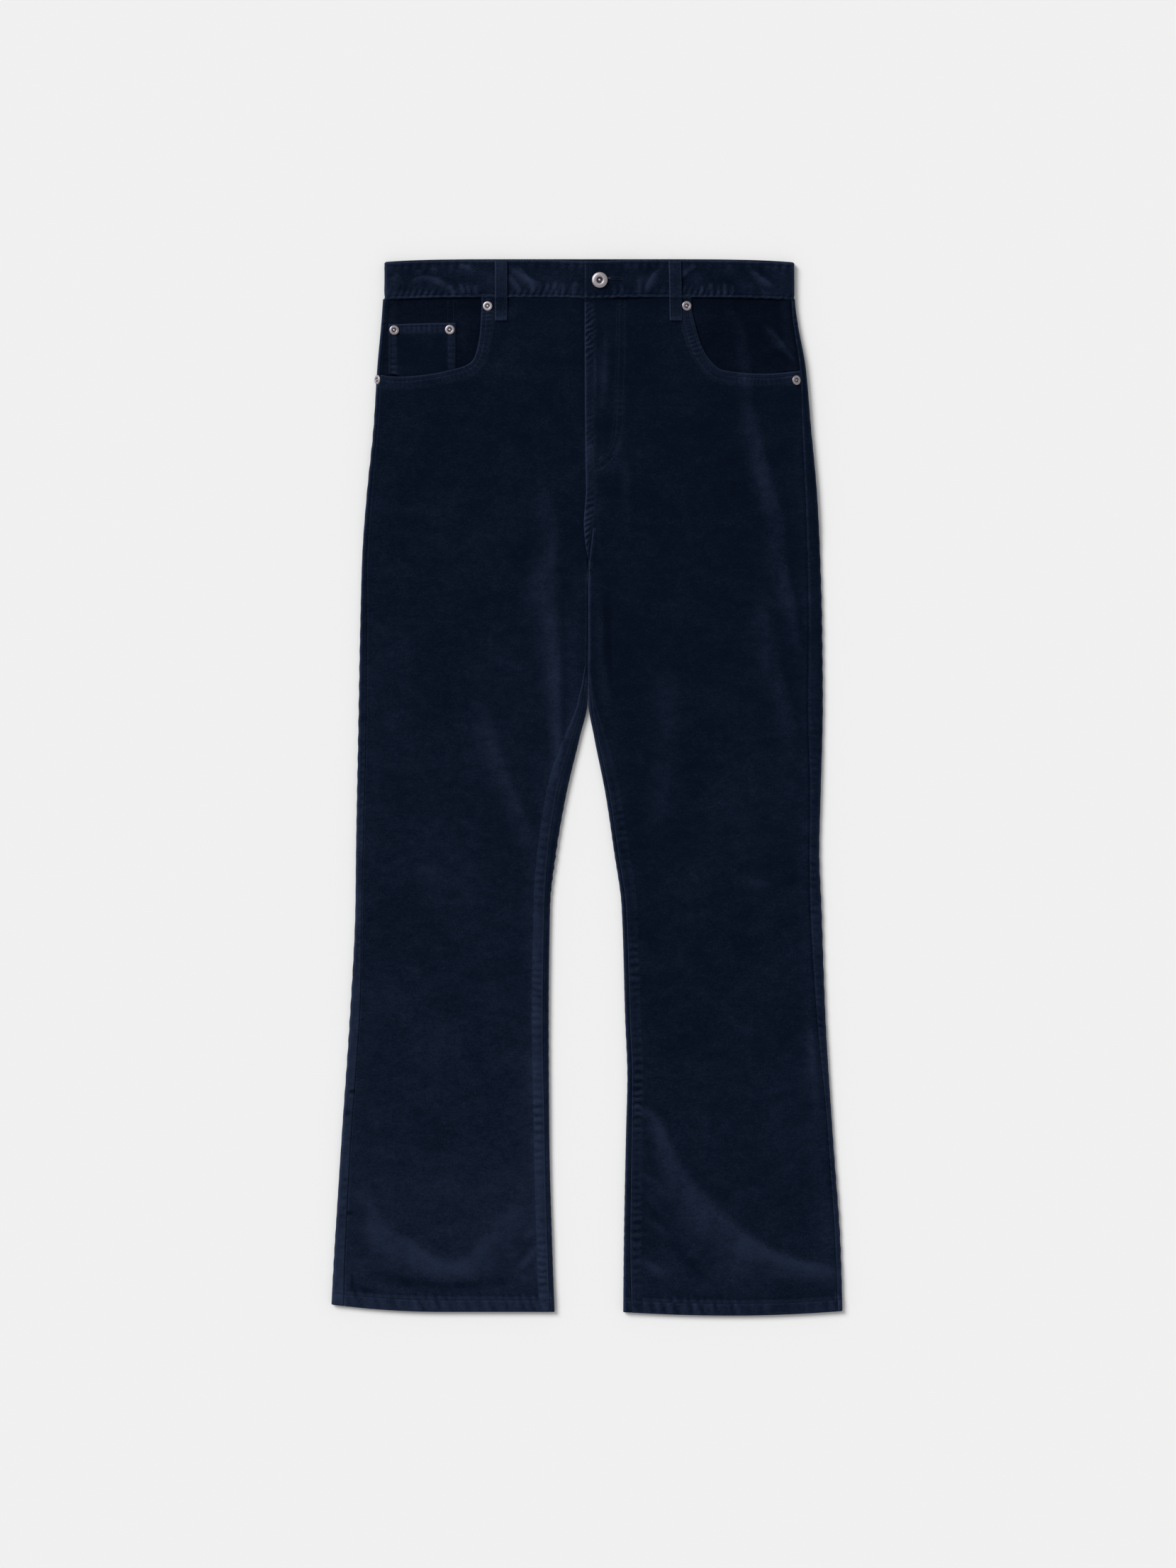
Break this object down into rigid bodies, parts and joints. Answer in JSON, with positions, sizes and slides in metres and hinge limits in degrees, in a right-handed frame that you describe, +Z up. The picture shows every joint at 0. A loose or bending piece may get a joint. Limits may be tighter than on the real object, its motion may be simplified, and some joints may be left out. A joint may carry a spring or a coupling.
{
  "type": "bootcut jeans",
  "caption": "Full-length velvet jeans with a flared leg, laid flat with the front up and the waist buttoned.",
  "frame": {"origin": "middle of the jeans' bounding box, on the surface that they lie on", "axes": "+Z up from that surface, +Y towards the waist, +X towards the wearer's left leg"},
  "size_m": [0.548, 1.1332, 0.0128],
  "materials": {
    "velvet": "soft navy cotton velvet with a short nap",
    "nickel": "pale nickel-plated trim"
  },
  "bodies": {
    "root": {"front_left": "velvet", "front_right": "velvet", "back_left": "velvet", "back_right": "velvet", "yoke_left": "velvet", "yoke_right": "velvet", "facing_left": "velvet", "facing_right": "velvet", "coin_pocket": "velvet", "waistband": "velvet", "loop_front_left": "velvet", "loop_front_right": "velvet", "loop_back_left": "velvet", "loop_back_middle": "velvet", "loop_back_right": "velvet", "pocket_back_left": "velvet", "pocket_back_right": "velvet", "hem_left": "velvet", "hem_right": "velvet", "rivet_1": "nickel", "rivet_2": "nickel", "rivet_3": "nickel", "rivet_4": "nickel", "rivet_5": "nickel", "rivet_6": "nickel", "button": "nickel"}
  },
  "joints": []
}
